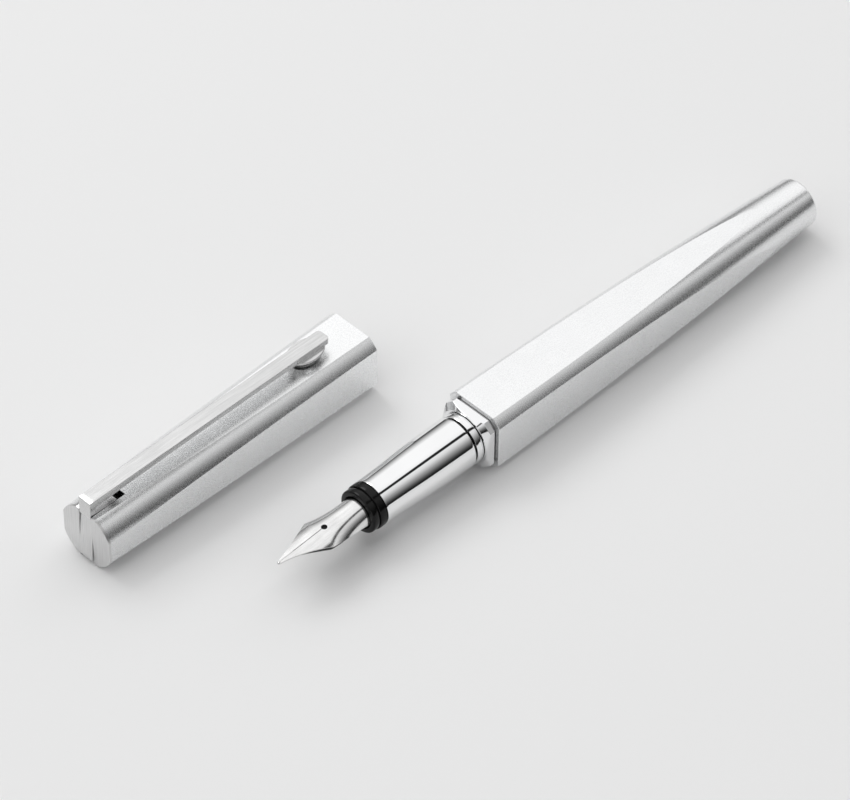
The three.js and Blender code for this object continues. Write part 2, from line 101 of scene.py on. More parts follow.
# The nodes that feed one surface or the air, with the coordinates they start from.
class Shade:
    def __init__(self, owner, surface, fixed, coordinates):
        owner.use_nodes = True
        self.owner = owner
        self.tree = owner.node_tree
        self.surface = self.tree.nodes[surface]
        for socket, value in fixed.items():
            self.surface.inputs[socket].default_value = value
        self.place = self.node("ShaderNodeTexCoord", {}, {}, coordinates)

    def node(self, kind, settings, values, output=0):
        made = self.tree.nodes.new(kind)
        for name, value in settings.items():
            if name == "stops":
                for place, colour in value:
                    made.color_ramp.elements.new(place).color = colour
            else:
                setattr(made, name, value)
        for name, value in values.items():
            if isinstance(value, Wire):
                self.tree.links.new(value.socket, made.inputs[name])
            else:
                made.inputs[name].default_value = value
        return Wire(self, made.outputs[output])

    def math(self, operation, first, second):
        values = {0: first, 1: second}
        return self.node("ShaderNodeMath", {"operation": operation}, values)

    def stretched(self, scale):
        values = {0: self.place, 1: scale}
        return self.node("ShaderNodeVectorMath", {"operation": "MULTIPLY"}, values)

    def grain(self, perMetre, detail=2.0, stretch=(1, 1, 1)):
        values = {"Vector": self.stretched(stretch), "Scale": perMetre, "Detail": detail}
        return self.node("ShaderNodeTexNoise", {}, values, "Fac")

    # A mask that goes from 0 to 1 between two values.
    def between(self, value, low, high):
        values = {"Value": value, "From Min": low, "From Max": high}
        return self.node("ShaderNodeMapRange", {}, values)

    def blend(self, mask, first, second):
        values = {0: mask, 6: first, 7: second}
        return self.node("ShaderNodeMix", {"data_type": "RGBA"}, values, 2)

    def bump(self, height, strength, depth):
        values = {"Height": height, "Strength": strength, "Distance": depth}
        self.feed("Normal", self.node("ShaderNodeBump", {}, values))

    def feed(self, socket, wire):
        self.tree.links.new(wire.socket, self.surface.inputs[socket])


def metalOrPlastic(name, fixed):
    return Shade(bpy.data.materials.new(name), "Principled BSDF", fixed, "Object")


def grey(value, warmth=0.0):
    return (value + warmth, value, value - warmth, 1)


satin = {
    "dark": grey(0.83, -0.006),
    "light": grey(0.91, -0.004),
    "pit": grey(0.6),
    "pitShare": 0.2,
    "pitRange": (0.55, 0.72),
    "rough": 0.21,
    "grainRough": 0.12,
    "pitRough": 0.08,
    "grainPerMetre": 5200,
    "pitsPerMetre": 9500,
    "cloudsPerMetre": 170,
    "toneRange": (0.34, 0.6),
    "bump": 0.18,
    "depth": 0.00001,
}


# Bead-blasted, clear-anodised aluminium: fine sparkle and pits over faint clouds.
def satinAluminium():
    shade = metalOrPlastic("satinAluminium", {"Metallic": 1.0, "Specular IOR Level": 0.5})
    speckle = shade.grain(satin["grainPerMetre"], 3.0)
    cloud = shade.grain(satin["cloudsPerMetre"])
    pits = shade.between(shade.grain(satin["pitsPerMetre"], 1.0), *satin["pitRange"])
    tone = shade.between(speckle * 0.8 + cloud * 0.2, *satin["toneRange"])
    colour = shade.blend(tone, satin["dark"], satin["light"])
    shade.feed("Base Color", shade.blend(pits * satin["pitShare"], colour, satin["pit"]))
    rough = satin["rough"] + speckle * satin["grainRough"] + pits * satin["pitRough"]
    shade.feed("Roughness", rough)
    shade.bump(speckle + pits * 0.6, satin["bump"], satin["depth"])
    return shade.owner


# A finish is lines along the way the piece was worked, and clouds over them. Each has its
# count per metre and its detail; lineShare says how far the lines set the tone.
brushed = {
    "fixed": {"Metallic": 1.0},
    "lines": (3800, 4.0),
    "stretch": (1, 0.05, 0.05),
    "clouds": (240, 2.0),
    "lineShare": 0.75,
    "toneRange": (0.3, 0.68),
    "dark": grey(0.6),
    "light": grey(0.75),
    "rough": 0.3,
    "lineRough": 0.14,
    "cloudRough": 0.0,
    "bump": 0.22,
    "depth": 0.000008,
}

finishes = {
    "tenonMetal": brushed,
    "clipMetal": {**brushed, "stretch": (0.05, 1, 1), "light": grey(0.72), "rough": 0.16},
    "endMetal": {
        **brushed, "stretch": (1, 1, 0.04), "dark": grey(0.62), "light": grey(0.74), "rough": 0.26,
    },
    "mirrorChrome": {
        "fixed": {"Metallic": 1.0},
        "lines": (900, 2.0),
        "stretch": (0.12, 1, 1),
        "clouds": (120, 2.0),
        "lineShare": 0.0,
        "toneRange": (0, 1),
        "dark": grey(0.86, -0.004),
        "light": grey(0.93, -0.004),
        "rough": 0.025,
        "lineRough": 0.03,
        "cloudRough": 0.02,
        "bump": 0.05,
        "depth": 0.000004,
    },
    "nibSteel": {
        "fixed": {"Metallic": 1.0},
        "lines": (2600, 3.0),
        "stretch": (0.08, 1, 1),
        "clouds": (350, 2.0),
        "lineShare": 0.6,
        "toneRange": (0.3, 0.7),
        "dark": grey(0.72, 0.003),
        "light": grey(0.86, 0.002),
        "rough": 0.09,
        "lineRough": 0.1,
        "cloudRough": 0.04,
        "bump": 0.12,
        "depth": 0.000005,
    },
    "blackPlastic": {
        "fixed": {"Specular IOR Level": 0.22, "IOR": 1.49},
        "lines": (2400, 2.0),
        "stretch": (1, 0.05, 0.05),
        "clouds": (260, 3.0),
        "lineShare": 0.0,
        "toneRange": (0, 1),
        "dark": grey(0.002),
        "light": grey(0.006),
        "rough": 0.1,
        "lineRough": 0.08,
        "cloudRough": 0.05,
        "bump": 0.08,
        "depth": 0.00001,
    },
    "clearPlastic": {
        "fixed": {"Transmission Weight": 0.9, "IOR": 1.49},
        "lines": (180, 3.0),
        "stretch": (0.3, 1, 1),
        "clouds": (60, 2.0),
        "lineShare": 1.0,
        "toneRange": (0, 1),
        "dark": grey(0.86),
        "light": grey(0.95),
        "rough": 0.06,
        "lineRough": 0.08,
        "cloudRough": 0.0,
        "bump": 0.0,
        "depth": 0.00001,
    },
    "turnedBrass": {
        "fixed": {"Metallic": 1.0},
        "lines": (3000, 3.0),
        "stretch": (1, 0.04, 0.04),
        "clouds": (300, 2.0),
        "lineShare": 0.0,
        "toneRange": (0, 1),
        "dark": (0.66, 0.47, 0.2, 1),
        "light": (0.78, 0.6, 0.3, 1),
        "rough": 0.22,
        "lineRough": 0.2,
        "cloudRough": 0.0,
        "bump": 0.2,
        "depth": 0.00001,
    },
}


def workedFinish(name, look):
    shade = metalOrPlastic(name, look["fixed"])
    lines = shade.grain(*look["lines"], look["stretch"])
    cloud = shade.grain(*look["clouds"])
    share = look["lineShare"]
    tone = shade.between(lines * share + cloud * (1 - share), *look["toneRange"])
    shade.feed("Base Color", shade.blend(tone, look["dark"], look["light"]))
    shade.feed("Roughness", look["rough"] + lines * look["lineRough"] + cloud * look["cloudRough"])
    if look["bump"]:
        shade.bump(lines, look["bump"], look["depth"])
    return shade.owner


print("materials")
aluminium = satinAluminium()
made = {name: workedFinish(name, look) for name, look in finishes.items()}
chrome = made["mirrorChrome"]
steel = made["nibSteel"]
clipMetal = made["clipMetal"]
endMetal = made["endMetal"]
tenonMetal = made["tenonMetal"]
black = made["blackPlastic"]
clear = made["clearPlastic"]
brass = made["turnedBrass"]


def finishPiece(name, mesh, matrix, material, sharp=22):
    mesh.transform(matrix)
    piece = bpy.data.objects.new(name, mesh)
    bpy.context.scene.collection.objects.link(piece)
    mesh.materials.append(material)
    shadeByAngle(mesh, sharp)
    return piece


def shadeByAngle(mesh, sharp):
    for polygon in mesh.polygons:
        polygon.use_smooth = True
    mesh.set_sharp_from_angle(angle=math.radians(sharp))


# A closed body through rings of points; each ring has the same count.
def skin(rings, closed=False):
    mesh = bpy.data.meshes.new("skin")
    work = bmesh.new()
    rows = [[work.verts.new(point) for point in ring] for ring in rings]
    pairs = list(zip(rows, rows[1:]))
    if closed:
        pairs.append((rows[-1], rows[0]))
    for near, far in pairs:
        count = len(near)
        for i in range(count):
            j = (i + 1) % count
            work.faces.new((near[i], near[j], far[j], far[i]))
    if not closed:
        work.faces.new(rows[0])
        work.faces.new(rows[-1])
    bmesh.ops.recalc_face_normals(work, faces=work.faces)
    work.to_mesh(mesh)
    work.free()
    return mesh


def circle(x, radius, count=96):
    angles = [2 * math.pi * i / count for i in range(count)]
    return [Vector((x, radius * math.cos(a), radius * math.sin(a))) for a in angles]


# A tube or ring from an outline of (x, radius) points that closes on itself.
def turnedPiece(name, outline, material, matrix=penFrame, count=96):
    rings = [circle(x, radius, count) for x, radius in outline]
    return finishPiece(name, skin(rings, closed=True), matrix, material, turnedAngle)


# A solid bar from an outline of (x, radius) points, from one end face to the other.
def turnedBar(name, outline, material, count):
    rings = [circle(x, radius, count) for x, radius in outline]
    return finishPiece(name, skin(rings), penFrame, material, turnedAngle)


# One ring of a square with turned corners: four flats joined by arcs of one circle.
def squareRing(x, half, radius, flatSteps=4, arcSteps=14):
    half = min(half, radius * math.cos(0.012))  # a sliver of flat always stays
    reach = math.sqrt(radius * radius - half * half)
    edge = math.atan2(reach, half)
    ring = []
    for quarter in range(4):
        turn = quarter * math.pi / 2
        spots = []
        for i in range(flatSteps + 1):
            spots.append((half, -reach + 2 * reach * i / flatSteps))
        for i in range(1, arcSteps):
            angle = edge + (math.pi / 2 - 2 * edge) * i / arcSteps
            spots.append((radius * math.cos(angle), radius * math.sin(angle)))
        for y, z in spots:
            across = y * math.cos(turn) - z * math.sin(turn)
            up = y * math.sin(turn) + z * math.cos(turn)
            ring.append(Vector((x, across, up)))
    return ring


ringCount = len(squareRing(0, 1, 1.2))  # a circle that joins a square ring has as many
satinAngle = 14  # edges sharper than this stay crisp on the satin shells
turnedAngle = 26  # and this on turned pieces


def steps(first, last, count):
    return [first + (last - first) * i / count for i in range(count + 1)]


def boxMesh(low, high):
    mesh = bpy.data.meshes.new("box")
    work = bmesh.new()
    bmesh.ops.create_cube(work, size=1)
    for vert in work.verts:
        for axis in range(3):
            middle = (low[axis] + high[axis]) / 2
            vert.co[axis] = middle + vert.co[axis] * (high[axis] - low[axis])
    work.to_mesh(mesh)
    work.free()
    return mesh


# Cuts or keeps a piece with other meshes, and leaves the result in its mesh.
def carve(piece, meshes, matrix, operation="DIFFERENCE", sharp=22):
    cutters = []
    for mesh in meshes:
        mesh.transform(matrix)
        cutter = bpy.data.objects.new("cutter", mesh)
        bpy.context.scene.collection.objects.link(cutter)
        modifier = piece.modifiers.new("carve", "BOOLEAN")
        modifier.operation = operation
        modifier.solver = "EXACT"
        modifier.object = cutter
        cutters.append(cutter)
    graph = bpy.context.evaluated_depsgraph_get()
    made = bpy.data.meshes.new_from_object(piece.evaluated_get(graph))
    piece.modifiers.clear()
    piece.data = made
    for cutter in cutters:
        bpy.data.objects.remove(cutter)
    shadeByAngle(made, sharp)


def softenEdges(piece, width, segments=2, angle=30):
    bevel = piece.modifiers.new("edges", "BEVEL")
    bevel.width = width * mm
    bevel.segments = segments
    bevel.limit_method = "ANGLE"
    bevel.angle_limit = math.radians(angle)
    bevel.harden_normals = True


def settle(piece, body, slotName, *nodes):
    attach(piece, body)
    if nodes:
        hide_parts(*nodes)


barrel = {
    "length": 82.0,
    "half": 6.0,
    "taper": 0.0098,
    "cornerRadius": 7.45,
    "slope": 0.00734,
    "curve": 0.0003264,
    "rimBevel": 0.18,
    "tailRound": 0.7,
    "keyHalf": 5.1,
    "keyCorner": 6.2,
    "keyDepth": 2.4,
    "keyEdge": 0.1,
    "keyEdgeDepth": 0.12,
    "insertRadius": 5.0,
    "insertEnd": 10.6,
    "chamberRadius": 4.3,
    "chamberEnd": 68.7,
    "rings": 90,
}


def barrelRing(x, inset=0.0):
    half = barrel["half"] - barrel["taper"] * x
    radius = barrel["cornerRadius"] - barrel["slope"] * x - barrel["curve"] * x * x
    return squareRing(x, half - inset, radius - inset)


def makeBarrel():
    chamber = barrel["chamberRadius"]
    seat = barrel["insertRadius"]
    keyHalf = barrel["keyHalf"]
    keyCorner = barrel["keyCorner"]
    edge = barrel["keyEdge"]
    bevel = barrel["rimBevel"]
    rings = [
        circle(barrel["chamberEnd"], chamber, ringCount),
        circle(barrel["insertEnd"], chamber, ringCount),
        circle(barrel["insertEnd"], seat, ringCount),
        circle(barrel["keyDepth"], seat, ringCount),
        squareRing(barrel["keyDepth"], keyHalf, keyCorner),
        squareRing(barrel["keyEdgeDepth"], keyHalf, keyCorner),
        squareRing(0, keyHalf + edge, keyCorner + edge),
        barrelRing(0, bevel),
        barrelRing(bevel * 0.4, bevel * 0.4),
    ]
    end = barrel["length"] - barrel["tailRound"]
    rings += [barrelRing(x) for x in steps(bevel, end, barrel["rings"])]
    for i in range(1, 7):  # the tail's edge rolls over a quarter turn
        angle = i * math.pi / 12
        x = end + barrel["tailRound"] * math.sin(angle)
        rings.append(barrelRing(x, barrel["tailRound"] * (1 - math.cos(angle))))
    piece = finishPiece("barrelBody", skin(rings), penFrame, aluminium, satinAngle)
    settle(piece, "barrel", "satin_aluminium", "barrel_shell")


insert = {
    "front": 2.8,
    "end": 10.3,
    "radius": 4.9,
    "crest": 4.4,
    "root": 4.5,
    "threadStart": 9.9,
    "pitch": -0.5,
    "crests": 14,
}


# Points down a thread: one at first height, one half a pitch on at second.
def threadPoints(start, pitch, first, second, count):
    points = []
    for i in range(count):
        x = start + i * pitch
        points += [(x, first), (x + pitch / 2, second)]
    return points


def makeInsert():
    crest = insert["crest"]
    outline = [(insert["front"], insert["radius"]), (insert["end"], insert["radius"])]
    outline.append((insert["end"], crest))
    outline += threadPoints(
        insert["threadStart"], insert["pitch"], crest, insert["root"], insert["crests"])
    outline.append((insert["front"], crest))
    piece = turnedPiece("threadInsert", outline, brass)
    settle(piece, "barrel", "brass", "barrel_thread_insert")


print("barrel")
makeBarrel()
makeInsert()


collar = {
    "front": -2.4,
    "frontRadius": 5.3,
    "rear": -0.5,
    "half": 5.4,
    "corner": 6.9,
    "facet": 6.5,
    "chamfer": 1.15,
    "keyHalf": 4.95,
    "keyCorner": 6.05,
    "keyEnd": 2.1,
    "bore": 4.4,
    "edge": 0.12,
}


# A turned plate cut square, then cut again at 45 degrees, with a square key behind it.
def makeCollar():
    front = collar["front"]
    rear = collar["rear"]
    outline = [
        (front, collar["frontRadius"]), (front + collar["chamfer"], collar["corner"]),
        (rear, collar["corner"]), (rear, collar["bore"]), (front, collar["bore"]),
    ]
    plate = turnedPiece("squareCollar", outline, chrome, count=192)
    half = collar["half"]
    facet = collar["facet"]
    carve(plate, [boxMesh((-9, -half, -half), (9, half, half))], penFrame, "INTERSECT")
    turned = boxMesh((-9, -facet, -facet), (9, facet, facet))
    turned.transform(Matrix.Rotation(math.pi / 4, 4, "X"))
    carve(plate, [turned], penFrame, "INTERSECT")
    softenEdges(plate, collar["edge"])
    settle(plate, "collar", "mirror_chrome", "square_collar")
    rings = [
        circle(collar["keyEnd"], collar["bore"], ringCount),
        squareRing(collar["keyEnd"], collar["keyHalf"], collar["keyCorner"]),
        squareRing(rear, collar["keyHalf"], collar["keyCorner"]),
        circle(rear, collar["bore"], ringCount),
    ]
    key = finishPiece("collarKey", skin(rings, closed=True), penFrame, tenonMetal)
    settle(key, "collar", "mirror_chrome")


section = {
    "bore": 4.4,
    "band": (-3.9, -2.5, 4.9),  # front, rear and radius
    "groove": (-4.3, -4.0, 4.55),
    "grooveLip": 0.08,
    "gripRear": -4.4,
    "gripFront": -24.8,
    "gripRearRadius": 4.95,
    "gripFrontRadius": 4.35,
    "gripTaper": 0.22,
    "drawInAt": 0.6,
    "drawInRate": 9,
    "boreEnd": -12.6,
    "housingBore": 3.7,
    "lip": 0.12,
}


# The grip's outline: nearly straight, then drawn in to a slim front.
def gripRadius(x):
    share = (section["gripRear"] - x) / (section["gripRear"] - section["gripFront"])
    drawIn = 1 / (1 + math.exp(-(share - section["drawInAt"]) * section["drawInRate"]))
    straight = section["gripRearRadius"] - section["gripTaper"] * share
    fall = section["gripRearRadius"] - section["gripTaper"] - section["gripFrontRadius"]
    return straight - fall * drawIn


def roundedTube(front, rear, radius, bore, lip):
    near = lip * 0.3
    return [
        (front, bore), (front, radius - lip), (front + near, radius - near),
        (front + lip, radius), (rear - lip, radius), (rear - near, radius - near),
        (rear, radius - lip), (rear, bore),
    ]


def makeSection():
    lip = section["lip"]
    bore = section["bore"]
    band = turnedPiece("sectionBand", roundedTube(*section["band"], bore, lip), chrome)
    settle(band, "section", "mirror_chrome", "section_band")
    groove = roundedTube(*section["groove"], bore, section["grooveLip"])
    ring = turnedPiece("grooveRing", groove, black)
    settle(ring, "section", "black_plastic", "section_groove_ring")

    front = section["gripFront"]
    rear = section["gripRear"]
    near = lip * 0.3
    outline = [(front, section["housingBore"]), (front, gripRadius(front) - lip)]
    outline.append((front + near, gripRadius(front) - near))
    outline += [(x, gripRadius(x)) for x in steps(front + lip, rear - lip, 60)]
    outline += [(rear - near, gripRadius(rear) - near), (rear, gripRadius(rear) - lip)]
    outline += [(rear, bore), (section["boreEnd"], bore)]
    outline.append((section["boreEnd"], section["housingBore"]))
    grip = turnedPiece("gripShell", outline, chrome, count=160)
    settle(grip, "section", "mirror_chrome", "section_grip")


tenon = {
    "front": -8.4,
    "rear": 10,
    "bore": 3.75,
    "crest": 4.3,
    "root": 4.2,
    "plainEnd": 2.4,
    "threadStart": 2.7,
    "pitch": 0.5,
    "crests": 14,
    "leadIn": 0.1,
}


def makeTenon():
    rear = tenon["rear"]
    crest = tenon["crest"]
    lead = tenon["leadIn"]
    outline = [(tenon["front"], tenon["bore"]), (tenon["front"], crest)]
    outline.append((tenon["plainEnd"], crest))
    outline += threadPoints(
        tenon["threadStart"], tenon["pitch"], tenon["root"], crest, tenon["crests"])
    outline += [(rear - lead, crest - lead * 1.5), (rear, crest - lead * 2.5), (rear, tenon["bore"])]
    piece = turnedPiece("sectionTenon", outline, tenonMetal)
    settle(piece, "section", "brushed_steel", "section_tenon")


housing = {
    "front": -27.9,
    "rear": -24.9,
    "big": 4.33,
    "small": 4.14,
    "neck": 3.94,
    "stepDepth": 1.35,
    "bore": 3.2,
    "boreEnd": -16.2,
    "stem": 3.6,
    "stemEnd": -12.4,
    "nipple": 1.7,
    "nippleEnd": -6.4,
    "inkBore": 0.5,
    "edge": 0.1,
    "smallEdge": ((0, 0.35), (0.06, 0.16), (0.16, 0.05), (0.32, 0)),  # how far on, how far in
    "bigEdge": ((0.2, 0.16), (0.28, 0.05), (0.42, 0)),
}


def makeHousing():
    front = housing["front"]
    step = front + housing["stepDepth"]
    rear = housing["rear"]
    small = housing["small"]
    big = housing["big"]
    neck = housing["neck"]
    stem = housing["stem"]
    nipple = housing["nipple"]
    edge = housing["edge"]
    outline = [(front, housing["bore"])]
    outline += [(front + on, small - within) for on, within in housing["smallEdge"]]
    outline += [(step - 0.2, small), (step - 0.06, small - 0.06), (step, neck), (step + 0.16, neck)]
    outline += [(step + on, big - within) for on, within in housing["bigEdge"]]
    outline += [
        (rear - edge, big), (rear, big - edge), (rear, stem),
        (housing["stemEnd"], stem), (housing["stemEnd"], nipple),
        (housing["nippleEnd"] - edge, nipple), (housing["nippleEnd"], nipple - edge),
        (housing["nippleEnd"], housing["inkBore"]), (housing["boreEnd"], housing["inkBore"]),
        (housing["boreEnd"], housing["bore"]),
    ]
    piece = turnedPiece("nibHousing", outline, black)
    settle(piece, "section", "black_plastic", "nib_housing")


print("collar and section")
makeCollar()
makeSection()
makeTenon()
makeHousing()


nib = {
    "base": -27.9,
    "tailEnd": -18.4,
    "tip": -46.3,
    "shoulder": -36.8,
    "ridge": 2.85,
    "fall": 0.077,
    "baseHalf": 3.09,
    "baseEdge": -0.5,
    "shoulderHalf": 3.66,
    "shoulderEdge": 1.03,
    "tipHalf": 0.3,
    "taperPower": 1.28,
    "sheet": 0.32,
    "holeAt": -35.7,
    "holeRadius": 0.55,
    "slit": 0.11,
    "arcSteps": 36,
    "point": (0.38, 0.34, 0.3),  # half sizes of the hard point, along, across and up
    "pointAt": 0.1,
    "pointDrop": 0.55,
}


# The nib's cross-section at x: its curve's radius and centre height, and half its wrap.
def nibSection(x):
    ahead = max(0.0, nib["base"] - x)
    ridge = nib["ridge"] - nib["fall"] * ahead
    share = min(1.0, ahead / (nib["base"] - nib["shoulder"]))
    half = nib["baseHalf"] + (nib["shoulderHalf"] - nib["baseHalf"]) * share
    edge = nib["baseEdge"] + (nib["shoulderEdge"] - nib["baseEdge"]) * share
    if x < nib["shoulder"]:
        edge -= nib["fall"] * (nib["shoulder"] - x)
    sag = ridge - edge
    radius = (half * half + sag * sag) / (2 * sag)
    if x < nib["shoulder"]:
        left = (x - nib["tip"]) / (nib["shoulder"] - nib["tip"])
        slim = nib["tipHalf"] + (half - nib["tipHalf"]) * left ** nib["taperPower"]
        return radius, ridge - radius, math.asin(slim / radius)
    return radius, ridge - radius, math.acos((radius - sag) / radius)


# Points along an arc about the pen's top, from one angle to another.
def arcPoints(x, radius, centre, first, last, count):
    return [
        Vector((x, radius * math.sin(angle), centre + radius * math.cos(angle)))
        for angle in steps(first, last, count)
    ]


def nibRing(x):
    radius, centre, wrap = nibSection(x)
    inner = radius - nib["sheet"]
    outside = arcPoints(x, radius, centre, -wrap, wrap, nib["arcSteps"])
    return outside + arcPoints(x, inner, centre, wrap, -wrap, nib["arcSteps"])


# Angles once round, without coming back to the first.
def aroundAngles(count):
    return steps(0, 2 * math.pi * (count - 1) / count, count - 1)


def makeNib():
    rings = [nibRing(x) for x in steps(nib["tailEnd"], nib["shoulder"], 40)]
    rings += [nibRing(x) for x in steps(nib["shoulder"] - 0.02, nib["tip"], 44)]
    piece = finishPiece("nibSheet", skin(rings), penFrame, steel, 30)
    holeAt = nib["holeAt"]
    hole = nib["holeRadius"]
    slitHalf = nib["slit"] / 2
    slit = boxMesh((nib["tip"] - 1, -slitHalf, -1), (holeAt, slitHalf, 5))
    breather = skin([
        [Vector((holeAt + hole * math.cos(a), hole * math.sin(a), z)) for a in aroundAngles(40)]
        for z in (0.2, 4)
    ])
    carve(piece, [slit, breather], penFrame, "DIFFERENCE", 30)
    settle(piece, "nib_unit", "polished_steel", "nib")


# The hard point welded under the tip: a bead of rings from end to end.
def makeNibPoint():
    radius, centre, _ = nibSection(nib["tip"])
    middle = centre + radius - nib["sheet"] * nib["pointDrop"]
    along, across, up = nib["point"]
    rings = []
    for i in range(1, 12):
        angle = math.pi * i / 12
        x = nib["tip"] + nib["pointAt"] + along * math.cos(angle)
        wide = across * math.sin(angle)
        high = up * math.sin(angle)
        rings.append([
            Vector((x, wide * math.cos(a), middle + high * math.sin(a))) for a in aroundAngles(24)
        ])
    point = finishPiece("nibPoint", skin(rings), penFrame, steel, 40)
    settle(point, "nib_unit", "polished_steel")


feed = {
    "tail": -16.5,
    "front": -42.4,
    "radius": 2.62,
    "gap": 0.06,
    "narrow": 0.62,
    "narrowPower": 2.4,
    "rise": 1.0,
    "risePower": 1.5,
    "riseStart": 3,
    "wingStart": 1.5,
    "wingLength": 5,
    "wingShare": 0.95,
    "widest": 0.97,
    "fins": 7,
    "finPitch": 0.85,
    "finWidth": 0.4,
    "finDepth": 0.16,
}


# The feed at x: the sheet's underside on top, a round keel below that rises to the front.
def feedRing(x, cut=0.0):
    radius, centre, wrap = nibSection(x)
    inner = radius - nib["sheet"] - feed["gap"]
    riseFrom = nib["base"] - feed["riseStart"]
    share = min(1.0, max(0.0, riseFrom - x) / (riseFrom - feed["front"]))
    half = feed["radius"] * (1 - feed["narrow"] * share ** feed["narrowPower"])
    low = -feed["radius"] + (feed["radius"] + feed["rise"]) * share ** feed["risePower"]
    wing = min(1.0, max(0.0, nib["base"] - feed["wingStart"] - x) / feed["wingLength"])
    under = inner * math.sin(min(wrap, 1.45))
    reach = min(half + (under * feed["wingShare"] - half) * wing, under * feed["widest"])
    turn = math.asin(min(0.98, reach / inner))
    side = centre + inner * math.cos(turn)
    ring = arcPoints(x, inner, centre, turn, -turn, 16)
    for i in range(1, 24):
        angle = math.pi * i / 24
        across = -reach * math.cos(angle) * (1 - cut * 0.2)
        drop = max(0.1, side - low) * math.sin(angle) ** 0.8 * (1 - cut)
        ring.append(Vector((x, across, side - drop)))
    return ring


def makeFeed():
    rings = [feedRing(x) for x in steps(feed["tail"], nib["base"] - 0.8, 8)]
    x = nib["base"] - 1.0
    depth = feed["finDepth"]
    width = feed["finWidth"]
    for _ in range(feed["fins"]):  # a comb of fins across the keel
        rings += [feedRing(x), feedRing(x - 0.02, depth)]
        rings += [feedRing(x - width + 0.02, depth), feedRing(x - width)]
        x -= feed["finPitch"]
    rings += [feedRing(spot) for spot in steps(x, feed["front"], 14)]
    piece = finishPiece("feedKeel", skin(rings), penFrame, black, 34)
    settle(piece, "nib_unit", "black_plastic", "feed")


print("nib and feed")
makeNib()
makeNibPoint()
makeFeed()


converter = {
    "radius": 3.6,
    "bore": 2.9,
    "neckBore": 1.8,
    "neckEnd": -5.3,
    "front": -12.3,
    "frontRound": 0.3,
    "tubeEnd": 31.9,
    "sleeveStart": 23.8,
    "sleeveEnd": 37.8,
    "sleeveRadius": 3.9,
    "sleeveBore": 3.7,
    "guideStart": 32.2,
    "guideBore": 1.2,
    "lip": 0.1,
    "rod": ((-0.9, 0.9), (-0.8, 1.1), (38.1, 1.1), (38.25, 0.95)),  # along and radius
    "seal": (
        (-5.0, 2.5), (-4.9, 2.75), (-4.1, 2.8), (-3.8, 2.4), (-2.2, 2.4), (-1.9, 2.8),
        (-1.1, 2.75), (-1.0, 2.5),
    ),
}


def makeConverter():
    radius = converter["radius"]
    front = converter["front"]
    tubeEnd = converter["tubeEnd"]
    bore = converter["bore"]
    neck = converter["neckBore"]
    lip = converter["lip"]
    soft = converter["frontRound"]
    sleeveEnd = converter["sleeveEnd"]
    tube = turnedPiece("inkTube", [
        (front, neck), (front, radius - soft), (front + soft, radius), (tubeEnd, radius),
        (tubeEnd, bore), (converter["neckEnd"], bore), (converter["neckEnd"], neck),
    ], clear)
    settle(tube, "converter", "clear_plastic", "converter_tube")
    sleeve = turnedPiece("tubeSleeve", roundedTube(
        converter["sleeveStart"], sleeveEnd, converter["sleeveRadius"], converter["sleeveBore"], lip,
    ), chrome)
    settle(sleeve, "converter", "mirror_chrome", "converter_sleeve")
    guide = turnedPiece("rodGuide", roundedTube(
        converter["guideStart"], sleeveEnd, radius, converter["guideBore"], lip), black)
    settle(guide, "converter", "black_plastic", "converter_rod_guide")
    rod = turnedBar("pistonRod", converter["rod"], black, 48)
    settle(rod, "piston", "black_plastic", "piston_rod")
    seal = turnedBar("pistonSeal", converter["seal"], clear, 64)
    settle(seal, "piston", "clear_plastic", "piston_seal")


knob = {
    "ridges": 24,
    "pointsRound": 144,
    "profile": (  # along, radius and how deep the ridges are cut
        (57.5, 1.2, 0), (38.1, 1.2, 0), (38.1, 3.25, 0), (38.3, 3.45, 0), (39.9, 3.45, 0),
        (40.1, 3.42, 0.2), (57.6, 3.42, 0.2), (57.8, 3.45, 0), (59.3, 3.45, 0), (59.7, 3.1, 0),
    ),
}


def makeKnob():
    rings = []
    for x, radius, depth in knob["profile"]:
        ring = []
        for i in range(knob["pointsRound"]):
            angle = 2 * math.pi * i / knob["pointsRound"]
            grip = radius - depth * (0.5 - 0.5 * math.cos(angle * knob["ridges"]))
            ring.append(Vector((x, grip * math.cos(angle), grip * math.sin(angle))))
        rings.append(ring)
    piece = finishPiece("fillerKnob", skin(rings), penFrame, black, 32)
    settle(piece, "knob", "black_plastic", "converter_knob")


print("converter")
makeConverter()
makeKnob()


cap = {
    "length": 62.8,
    "half": 6.0,
    "taper": 0.005,
    "mouthRadius": 7.25,
    "slope": 0.01019,
    "curve": 0.0001217,
    "rimBevel": 0.2,
    "rings": 60,
    "bore": 5.4,
    "mouthHalf": 5.55,
    "mouthCorner": 6.65,
    "mouthDepth": 3.4,
    "mouthEdge": 0.12,
    "mouthEdgeDepth": 0.15,
    "plugDepth": 5.0,
    "plugInset": 0.75,
    "plate": 0.5,
    "fitGap": 0.05,
    "linerRadius": 5.3,
    "linerWall": 0.2,
    "linerFront": -5.0,
    "linerEnd": -51.8,
    "linerHole": 0.3,
}

clip = {
    "width": 2.8,
    "thickness": 1.16,
    "bendThickness": 1.6,
    "top": 8.8,
    "sag": 0.12,
    "sagFrom": 0.7,
    "end": -6.9,
    "legBottom": 5.0,
    "legTop": 5.72,
    "legEnd": -56.0,
    "legSlant": 0.85,
    "notch": 1.0,
    "frontWall": 1.1,
    "frontRound": 0.12,
    "innerRound": 0.15,
    "corner": 0.75,
    "edge": 0.32,
    "padAt": 4.5,
    "padHalfLength": 3.9,
    "padHalfWidth": 2.7,
    "padGap": 0.08,
    "slotGap": 0.12,
    "hingeBlend": 0.0004,
}

endBand = {"half": 1.55, "groove": 0.07, "tilt": 0.4, "depth": 1.6, "edge": 0.05}

